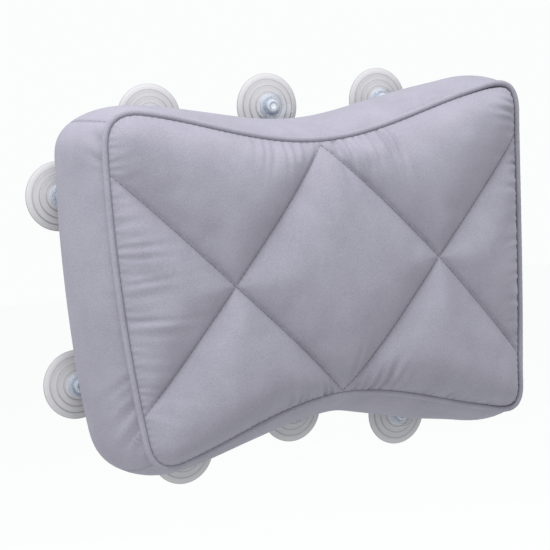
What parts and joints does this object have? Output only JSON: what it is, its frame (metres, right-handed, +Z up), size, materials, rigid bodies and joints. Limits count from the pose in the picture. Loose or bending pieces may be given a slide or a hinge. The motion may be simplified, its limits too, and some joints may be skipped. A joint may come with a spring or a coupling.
{
  "type": "bath pillow",
  "caption": "Quilted bow-tie bath pillow with a piped velour cover, boxed sides and clear suction cups that turn in sewn-on holders and grip a tub wall.",
  "frame": {"origin": "on the wall plane under the cup rims, level with the middle of the pillow", "axes": "+X to the right as seen from the front, +Y into the wall, +Z up"},
  "size_m": [0.437, 0.1217, 0.335],
  "materials": {
    "velour": "lilac-grey velour pile",
    "polyester_fibre": "white loose fibre",
    "cotton_cord": "undyed twisted cord",
    "clear_vinyl": "milky clear soft vinyl"
  },
  "bodies": {
    "pillow": {"filling": "polyester_fibre", "quilt_wadding": "polyester_fibre", "front_cover": "velour", "piping_cord": "cotton_cord", "piping_cover": "velour", "boxing_top": "velour", "boxing_right": "velour", "boxing_bottom": "velour", "boxing_left": "velour", "back_panel": "velour", "cup_holder_top_left": "clear_vinyl", "cup_holder_top_middle": "clear_vinyl", "cup_holder_top_right": "clear_vinyl", "cup_holder_right_upper": "clear_vinyl", "cup_holder_right_lower": "clear_vinyl", "cup_holder_bottom_right": "clear_vinyl", "cup_holder_bottom_middle": "clear_vinyl", "cup_holder_bottom_left": "clear_vinyl", "cup_holder_left_lower": "clear_vinyl", "cup_holder_left_upper": "clear_vinyl"},
    "cup_top_left": {"suction_cup_top_left": "clear_vinyl"},
    "cup_top_middle": {"suction_cup_top_middle": "clear_vinyl"},
    "cup_top_right": {"suction_cup_top_right": "clear_vinyl"},
    "cup_right_upper": {"suction_cup_right_upper": "clear_vinyl"},
    "cup_right_lower": {"suction_cup_right_lower": "clear_vinyl"},
    "cup_bottom_right": {"suction_cup_bottom_right": "clear_vinyl"},
    "cup_bottom_middle": {"suction_cup_bottom_middle": "clear_vinyl"},
    "cup_bottom_left": {"suction_cup_bottom_left": "clear_vinyl"},
    "cup_left_lower": {"suction_cup_left_lower": "clear_vinyl"},
    "cup_left_upper": {"suction_cup_left_upper": "clear_vinyl"}
  },
  "joints": [
    {"name": "cup_top_left_spin", "type": "hinge", "parent": "pillow", "child": "cup_top_left", "pos_m": [-0.108, 0, 0.13205], "axis": [0, 1, 0], "continuous": true},
    {"name": "cup_top_middle_spin", "type": "hinge", "parent": "pillow", "child": "cup_top_middle", "pos_m": [0, 0, 0.134], "axis": [0, 1, 0], "continuous": true},
    {"name": "cup_top_right_spin", "type": "hinge", "parent": "pillow", "child": "cup_top_right", "pos_m": [0.108, 0, 0.13205], "axis": [0, 1, 0], "continuous": true},
    {"name": "cup_right_upper_spin", "type": "hinge", "parent": "pillow", "child": "cup_right_upper", "pos_m": [0.19046, 0, 0.076], "axis": [0, 1, 0], "continuous": true},
    {"name": "cup_right_lower_spin", "type": "hinge", "parent": "pillow", "child": "cup_right_lower", "pos_m": [0.19052, 0, -0.076], "axis": [0, 1, 0], "continuous": true},
    {"name": "cup_bottom_right_spin", "type": "hinge", "parent": "pillow", "child": "cup_bottom_right", "pos_m": [0.104, 0, -0.14501], "axis": [0, 1, 0], "continuous": true},
    {"name": "cup_bottom_middle_spin", "type": "hinge", "parent": "pillow", "child": "cup_bottom_middle", "pos_m": [0, 0, -0.126], "axis": [0, 1, 0], "continuous": true},
    {"name": "cup_bottom_left_spin", "type": "hinge", "parent": "pillow", "child": "cup_bottom_left", "pos_m": [-0.104, 0, -0.14501], "axis": [0, 1, 0], "continuous": true},
    {"name": "cup_left_lower_spin", "type": "hinge", "parent": "pillow", "child": "cup_left_lower", "pos_m": [-0.19052, 0, -0.076], "axis": [0, 1, 0], "continuous": true},
    {"name": "cup_left_upper_spin", "type": "hinge", "parent": "pillow", "child": "cup_left_upper", "pos_m": [-0.19046, 0, 0.076], "axis": [0, 1, 0], "continuous": true}
  ]
}
